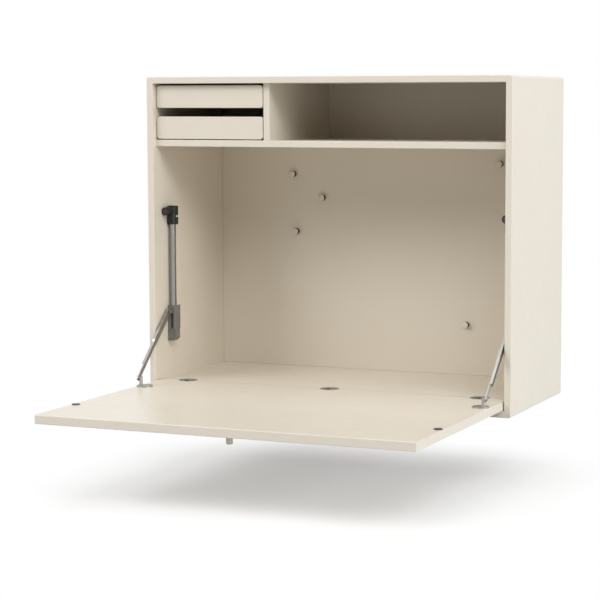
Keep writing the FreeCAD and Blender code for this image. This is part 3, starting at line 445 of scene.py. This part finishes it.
def screw(bm, place, head, rise):
    """A cross-head screw head that rises from the place's XY plane, with its recess cut in."""
    outline = [(head / 2 * across, rise * up) for across, up in HEAD_OUTLINE]
    rings = turned(bm, place, outline, HEAD_SEGMENTS)
    reach, half, deep = head * CROSS_REACH, head * CROSS_HALF, head * CROSS_DEPTH
    cross = [(reach, -half), (reach, half), (half, half), (half, reach), (-half, reach), (-half, half),
             (-reach, half), (-reach, -half), (-half, -half), (-half, -reach), (half, -reach), (half, -half)]
    mouth = [bm.verts.new(place @ Vector((x, y, rise))) for x, y in cross]
    pit = [bm.verts.new(place @ Vector((x * CROSS_TAPER, y * CROSS_TAPER, rise - deep))) for x, y in cross]
    edges = [bm.edges.get((rings[-1][step - 1], rings[-1][step])) for step in range(HEAD_SEGMENTS)]
    edges += [bm.edges.new((mouth[step - 1], mouth[step])) for step in range(len(mouth))]
    bmesh.ops.triangle_fill(bm, edges=edges, use_beauty=True)
    for step in range(len(mouth)):
        bm.faces.new((mouth[step - 1], mouth[step], pit[step], pit[step - 1]))
    bm.faces.new(pit)
    bm.faces.new(rings[0])


class DESK_OT_lacquer_boards(bpy.types.Operator):
    """Lacquer the carcass, the inner boards, the flap, the tray fronts and the steel sheet"""
    bl_idname = "desk.lacquer_boards"
    bl_label = "Lacquer the boards"

    def execute(self, context):
        colours = context.scene.desk_finishes
        tones = colours.lacquer, colours.lacquer_deep
        board = satin_lacquer("Satin lacquer on fibreboard", *tones, peel_mm=3.0, roughness=0.33)
        sheet = satin_lacquer("Satin lacquer on steel", *tones, peel_mm=1.8, roughness=0.4)
        finish(["left_side_panel", "right_side_panel", "top_panel", "bottom_panel", "back_panel", "desk_floor",
                "shelf", "divider", "flap_panel"], board)
        finish([f"{tray}_tray_front" for tray in TRAYS], board)
        finish(["steel_sheet"], sheet)
        return {"FINISHED"}


class DESK_OT_finish_trays(bpy.types.Operator):
    """Lacquer the insides of the trays and wax their runners"""
    bl_idname = "desk.finish_trays"
    bl_label = "Finish the trays"

    def execute(self, context):
        colours = context.scene.desk_finishes
        thin = satin_lacquer("Thin lacquer on tray board", colours.tray_lacquer, colours.tray_lacquer_deep,
                             peel_mm=3.0, roughness=0.5)
        beech = waxed_beech(colours.beech, colours.beech_late)
        for tray in TRAYS:
            finish([f"{tray}_tray_{wall}" for wall in ("left_side", "right_side", "back", "base")], thin)
            finish([f"{tray}_tray_{side}_runner" for side in SIDES], beech)
        return {"FINISHED"}


class DESK_OT_dress_hinges(bpy.types.Operator):
    """Finish the flush hinges and put two screws in each leaf"""
    bl_idname = "desk.dress_hinges"
    bl_label = "Dress the hinges"

    def execute(self, context):
        colours, sizes = context.scene.desk_finishes, context.scene.desk_fittings
        nickel = drawn_metal("Satin nickel, brushed across", colours.nickel, colours.nickel_deep,
                             grain_mm=(14, 0.8, 0.8), roughness=0.5, change=0.06)
        for hinge in HINGES:
            finish([f"hinge_{hinge}_{part}" for part in ("floor_leaf", "flap_leaf", "pin")], nickel)
            centre = middle(f"hinge_{hinge}_pin").y + sizes.hinge_back
            for leaf, body, away in (("floor_leaf", "cabinet", 1), ("flap_leaf", "flap", -1)):
                low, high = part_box(f"hinge_{hinge}_{leaf}")
                bm = bmesh.new()
                for side in SIDES.values():
                    spot = Vector(((low.x + high.x) / 2 + side * SCREW_SPREAD * (high.x - low.x),
                                   centre + away * sizes.leaf_screw, high.z))
                    screw(bm, facing(spot, (0, 0, 1), HINGE_SCREW_TURN * side), sizes.screw_head, sizes.screw_rise)
                piece(f"hinge_{hinge}_{leaf}_screws", bm, nickel, body)
        return {"FINISHED"}


class DESK_OT_dress_stays(bpy.types.Operator):
    """Finish the flap stays, put a black brake insert in each slider, which also paints the shade in its slot, and
    screws in each plate on the flap
    """
    bl_idname = "desk.dress_stays"
    bl_label = "Dress the stays"

    def execute(self, context):
        colours, sizes = context.scene.desk_finishes, context.scene.desk_fittings
        black_tones = colours.black_nylon, colours.black_nylon_worn
        grey_tones = colours.grey_nylon, colours.grey_nylon_worn
        nickel = drawn_metal("Satin nickel, brushed along", colours.stay_nickel, colours.stay_nickel_deep,
                             grain_mm=(0.8, 14, 14), roughness=0.42, change=0.07)
        steel = drawn_metal("Polished drawn steel", colours.steel, colours.steel_deep,
                            grain_mm=(2, 2, 60), roughness=0.12, change=0.04)
        black = moulded_nylon("Black glass-filled nylon", *black_tones, roughness=0.58)
        grey = moulded_nylon("Grey glass-filled nylon", *grey_tones, roughness=0.36)
        glossy = moulded_nylon("Grey nylon, polished by use", *grey_tones, roughness=0.18)
        for name in SIDES:
            finish([f"stay_{name}_tube"], steel)
            finish([f"stay_{name}_top_fitting"], black)
            finish([f"stay_{name}_lower_block"], grey)
            finish([f"stay_{name}_slider"], glossy)
            finish([f"stay_{name}_arm", f"stay_{name}_flap_plate"], nickel)
            # The black insert also paints the shade in the slider's slot.
            self.brake_insert_and_slot_shade(name, sizes, black)
            self.plate_screws(name, sizes, nickel)
        return {"FINISHED"}

    def brake_insert_and_slot_shade(self, name, sizes, material):
        """A black strip in the slot of the slider's front, pressed on the tube by a small screw. Its black also
        stands in for the shade in the slot.
        """
        low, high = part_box(f"stay_{name}_slider")
        tube_low, tube_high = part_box(f"stay_{name}_tube")
        foot, head = low.z + sizes.insert_foot, high.z - sizes.insert_head
        spot = Vector(((tube_low.x + tube_high.x) / 2 - SIDES[name] * sizes.insert_aside,
                       tube_low.y - sizes.insert_play - sizes.insert_depth / 2, (foot + head) / 2))
        scale = Matrix.Diagonal((sizes.insert_width, sizes.insert_depth, head - foot, 1))
        bm = bmesh.new()
        bmesh.ops.create_cube(bm, size=1)
        bmesh.ops.transform(bm, matrix=Matrix.Translation(spot) @ scale, verts=bm.verts)
        bmesh.ops.bevel(bm, geom=bm.edges[:], offset=sizes.insert_round, segments=3, affect="EDGES", profile=0.5)
        front = Vector((spot.x, spot.y - sizes.insert_depth / 2, foot + (head - foot) * INSERT_SCREW_UP))
        screw(bm, facing(front, (0, -1, 0), INSERT_SCREW_TURN), sizes.insert_width * INSERT_SCREW_HEAD,
              sizes.screw_rise)
        piece(f"stay_{name}_brake_insert", bm, material, f"{name}_stay_slider")

    def plate_screws(self, name, sizes, material):
        """Two screws on the plate, about a third of a turn to each side of its post."""
        low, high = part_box(f"stay_{name}_flap_plate")
        centre, top = (low + high) / 2, low.z + sizes.plate_thickness
        bm = bmesh.new()
        for turn in (PLATE_SCREW_TURN, -PLATE_SCREW_TURN):
            spot = Vector((centre.x + SIDES[name] * sizes.screw_circle * math.cos(turn),
                           centre.y + sizes.screw_circle * math.sin(turn), top))
            screw(bm, facing(spot, (0, 0, 1), turn), sizes.screw_head, sizes.screw_rise)
        piece(f"stay_{name}_plate_screws", bm, material, "flap")


class DESK_OT_fit_catches(bpy.types.Operator):
    """Finish the catch magnets in the top fittings and their plates on the flap"""
    bl_idname = "desk.fit_catches"
    bl_label = "Fit the catches"

    def execute(self, context):
        colours = context.scene.desk_finishes
        ferrite = drawn_metal("Ground ferrite", colours.ferrite, colours.ferrite_deep,
                              grain_mm=(1, 1, 8), roughness=0.5, change=0.08, metallic=0.0)
        dark = drawn_metal("Burnished steel", colours.burnished, colours.burnished_deep,
                           grain_mm=(1.5, 1.5, 1.5), roughness=0.38, change=0.08)
        finish([f"catch_{name}_magnet" for name in SIDES], ferrite)
        finish([f"catch_{name}_plate" for name in SIDES], dark)
        return {"FINISHED"}


class DESK_OT_turn_knob(bpy.types.Operator):
    """Turn the knob with a hollow neck and a crowned face, in place of the plain solid"""
    bl_idname = "desk.turn_knob"
    bl_label = "Turn the knob"

    def execute(self, context):
        colours, sizes = context.scene.desk_finishes, context.scene.desk_fittings
        low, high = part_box("flap_knob")
        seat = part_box("flap_panel")[0].z
        head, reach, inside = (high.x - low.x) / 2, seat - low.z, seat - high.z
        neck, stem, hollow, rim = head * KNOB_NECK, sizes.knob_stem, sizes.neck_round, sizes.rim_round
        profile = [(0, inside), (stem, inside), (stem, 0), (neck, 0)]
        profile += arc(neck + hollow, reach * KNOB_HOLLOW, hollow, start=180, end=120)
        profile += arc(head - rim, reach * KNOB_SHOULDER, rim, start=-30, end=0, steps=3)
        profile += crowned(head, reach, sizes, end=80)
        bm = bmesh.new()
        turned(bm, facing((middle("flap_knob").x, middle("flap_knob").y, seat), (0, 0, -1)), profile)
        lacquer = satin_lacquer("Satin lacquer on turned wood", colours.lacquer, colours.lacquer_deep,
                                peel_mm=2.0, roughness=0.42)
        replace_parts(piece("turned_knob", bm, lacquer, "flap"), "flap_knob")
        return {"FINISHED"}


class DESK_OT_turn_magnets(bpy.types.Operator):
    """Turn the five magnets with crowned, lacquered faces and sides in a dark tone of painted shade, in place of
    the plain solids
    """
    bl_idname = "desk.turn_magnets"
    bl_label = "Turn the magnets"

    def execute(self, context):
        colours, sizes = context.scene.desk_finishes, context.scene.desk_fittings
        lacquer = satin_lacquer("Satin lacquer on turned metal", colours.lacquer, colours.lacquer_deep,
                                peel_mm=1.6, roughness=0.4)
        # The dark steel on the magnets' sides is painted shade.
        shade_painted = drawn_metal("Burnished steel, turned", colours.burnished, colours.burnished_deep,
                           grain_mm=(6, 0.6, 6), roughness=0.4, change=0.06)
        foot = sizes.magnet_foot
        for name in MAGNETS:
            low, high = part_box(name)
            radius, reach = (high.x - low.x) / 2, high.y - low.y
            profile = [(0, 0), (radius - foot, 0), (radius, foot)] + crowned(radius, reach, sizes, end=82)
            bm = bmesh.new()
            turned(bm, facing((middle(name).x, high.y, middle(name).z), (0, -1, 0)), profile)
            made = piece(f"turned_{name}", bm, lacquer, name)
            made.data.materials.append(shade_painted)
            # The sides take the dark tone as painted shade.
            for face in made.data.polygons:
                face.material_index = int(abs(face.normal.y) < SHADE_PAINTED_BELOW)
            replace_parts(made, name)
        return {"FINISHED"}


class DESK_OT_dress_wall_fixing(bpy.types.Operator):
    """Plate the wall rail and hangers with zinc and put two screws in each hanger"""
    bl_idname = "desk.dress_wall_fixing"
    bl_label = "Dress the wall fixing"

    def execute(self, context):
        colours, sizes = context.scene.desk_finishes, context.scene.desk_fittings
        zinc = zinc_plating(colours.zinc, colours.zinc_deep)
        hangers = [f"{name}_hanger" for name in SIDES]
        finish(["wall_rail"] + hangers, zinc)
        for name in hangers:
            low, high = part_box(name)
            bm = bmesh.new()
            for side in SIDES.values():
                spot = Vector((middle(name).x + side * SCREW_SPREAD * (high.x - low.x),
                               low.y + sizes.hanger_thickness, low.z + sizes.hanger_screw))
                screw(bm, facing(spot, (0, 1, 0), HANGER_SCREW_TURN * side), sizes.pan_head, sizes.pan_rise)
            piece(f"{name}_screws", bm, zinc, "cabinet")
        return {"FINISHED"}


class DESK_OT_build_studio(bpy.types.Operator):
    """Lay the pale floor and set up the lamps, the white surround and the camera"""
    bl_idname = "desk.build_studio"
    bl_label = "Build the studio"

    def execute(self, context):
        scene, studio = context.scene, context.scene.desk_studio
        scene.view_settings.view_transform = "Standard"
        self.floor(scene, studio)
        self.surround(scene)
        for name, (watts, size, place) in LAMPS.items():
            self.lamp(scene, name, getattr(studio, watts), size, place)
        bpy.data.lights["Side lamp"].color = studio.side_tone[:3]
        self.camera(scene, studio)
        return {"FINISHED"}

    def floor(self, scene, studio):
        """A wide pale floor that shows the desk's shadow and fades to white further out."""
        level = CAD_BOX[0][2] - studio.floor_drop
        bm = bmesh.new()
        bmesh.ops.create_grid(bm, x_segments=FLOOR_CELLS, y_segments=FLOOR_CELLS, size=FLOOR_HALF)
        bmesh.ops.translate(bm, verts=bm.verts, vec=(0, 0, level))
        mesh = bpy.data.meshes.new("studio_floor")
        bm.to_mesh(mesh)
        bm.free()
        mesh.materials.append(self.floor_paint(studio))
        floor = bpy.data.objects.new("studio_floor", mesh)
        scene.collection.objects.link(floor)

    def floor_paint(self, studio):
        """Matt pale floor paint. To the eye it is lit from within, so that it is white except in the shadow."""
        material, tree, spot = new_material("Matt pale floor paint")
        bounce = add(tree, "ShaderNodeBsdfDiffuse", {"Color": studio.floor_bounce})
        shade = add(tree, "ShaderNodeBsdfDiffuse", {"Color": studio.floor_shade})
        glow = add(tree, "ShaderNodeEmission", {"Color": linear("FFFFFF"), "Strength": studio.floor_glow})
        near = add(tree, "ShaderNodeAddShader", {0: shade.outputs[0], 1: glow.outputs[0]})
        white = add(tree, "ShaderNodeEmission", {"Color": linear("FFFFFF"), "Strength": 1.0})
        flat = vector(tree, "MULTIPLY", spot, (1, 1, 0))
        aside = vector(tree, "ABSOLUTE", vector(tree, "SUBTRACT", flat, SHADOW_MIDDLE))
        outside = vector(tree, "MAXIMUM", vector(tree, "SUBTRACT", aside, SHADOW_HALF), (0, 0, 0))
        away = add(tree, "ShaderNodeVectorMath", {0: outside}, operation="LENGTH").outputs["Value"]
        fade = add(tree, "ShaderNodeMapRange", {"Value": away, "From Min": FADE_START, "From Max": FADE_END},
                   interpolation_type="SMOOTHSTEP").outputs["Result"]
        shown = add(tree, "ShaderNodeMixShader", {0: fade, 1: near.outputs[0], 2: white.outputs[0]})
        close(tree, add(tree, "ShaderNodeMixShader", {
            0: self.seen(tree), 1: bounce.outputs[0], 2: shown.outputs[0]}))
        return material

    def seen(self, tree):
        """One for rays that come from the eye, directly, by a mirror-like surface or through glass."""
        path = add(tree, "ShaderNodeLightPath").outputs
        mirrored = greater(tree, path["Is Camera Ray"], path["Is Glossy Ray"])
        return greater(tree, mirrored, path["Is Transmission Ray"])

    def surround(self, scene):
        """White all around for the eye and in reflections, which sheds no light of its own on the desk."""
        world = bpy.data.worlds.new("White surround")
        scene.world = world
        world.use_nodes = True
        tree = world.node_tree
        tree.nodes.clear()
        white = add(tree, "ShaderNodeBackground", {"Color": linear("FFFFFF"), "Strength": self.seen(tree)})
        add(tree, "ShaderNodeOutputWorld", {"Surface": white.outputs[0]})

    def lamp(self, scene, name, watts, size, place):
        """A soft rectangular lamp that faces the desk."""
        data = bpy.data.lights.new(name, "AREA")
        data.energy = watts
        data.shape = "RECTANGLE"
        data.size, data.size_y = size
        made = bpy.data.objects.new(name, data)
        made.location = place
        made.rotation_euler = (LAMP_TARGET - Vector(place)).to_track_quat("-Z", "Y").to_euler()
        scene.collection.objects.link(made)

    def camera(self, scene, studio):
        """The camera at the photograph's angle."""
        data = bpy.data.cameras.new("Camera")
        data.lens = studio.lens
        data.shift_x, data.shift_y = studio.shift
        made = bpy.data.objects.new("Camera", data)
        made.location = studio.eye
        made.rotation_euler = (math.pi / 2 - studio.pitch, 0, studio.yaw)
        scene.collection.objects.link(made)
        scene.camera = made


OPERATORS = (DESK_OT_lacquer_boards, DESK_OT_finish_trays, DESK_OT_dress_hinges, DESK_OT_dress_stays,
             DESK_OT_fit_catches, DESK_OT_turn_knob, DESK_OT_turn_magnets, DESK_OT_dress_wall_fixing,
             DESK_OT_build_studio)


class DESK_PT_sidebar(bpy.types.Panel):
    """Finishes, fittings and studio of the desk"""
    bl_idname = "DESK_PT_sidebar"
    bl_label = "Fold down wall desk"
    bl_space_type = "VIEW_3D"
    bl_region_type = "UI"
    bl_category = "Desk"

    def draw(self, context):
        for operator in OPERATORS:
            self.layout.operator(operator.bl_idname)
        for group in (context.scene.desk_finishes, context.scene.desk_fittings, context.scene.desk_studio):
            box = self.layout.box()
            for name in group.__annotations__:
                box.prop(group, name)


GROUPS = {"desk_finishes": DeskFinishes, "desk_fittings": DeskFittings, "desk_studio": DeskStudio}


def register():
    for made in (*GROUPS.values(), *OPERATORS, DESK_PT_sidebar):
        bpy.utils.register_class(made)
    for name, group in GROUPS.items():
        setattr(bpy.types.Scene, name, PointerProperty(type=group))


def unregister():
    for name in GROUPS:
        delattr(bpy.types.Scene, name)
    for made in (DESK_PT_sidebar, *reversed(OPERATORS), *reversed(GROUPS.values())):
        bpy.utils.unregister_class(made)


def main():
    """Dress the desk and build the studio."""
    register()
    bpy.ops.desk.lacquer_boards()
    bpy.ops.desk.finish_trays()
    bpy.ops.desk.dress_hinges()
    bpy.ops.desk.dress_stays()
    bpy.ops.desk.fit_catches()
    bpy.ops.desk.turn_knob()
    bpy.ops.desk.turn_magnets()
    bpy.ops.desk.dress_wall_fixing()
    bpy.ops.desk.build_studio()


if __name__ == "__main__":
    main()
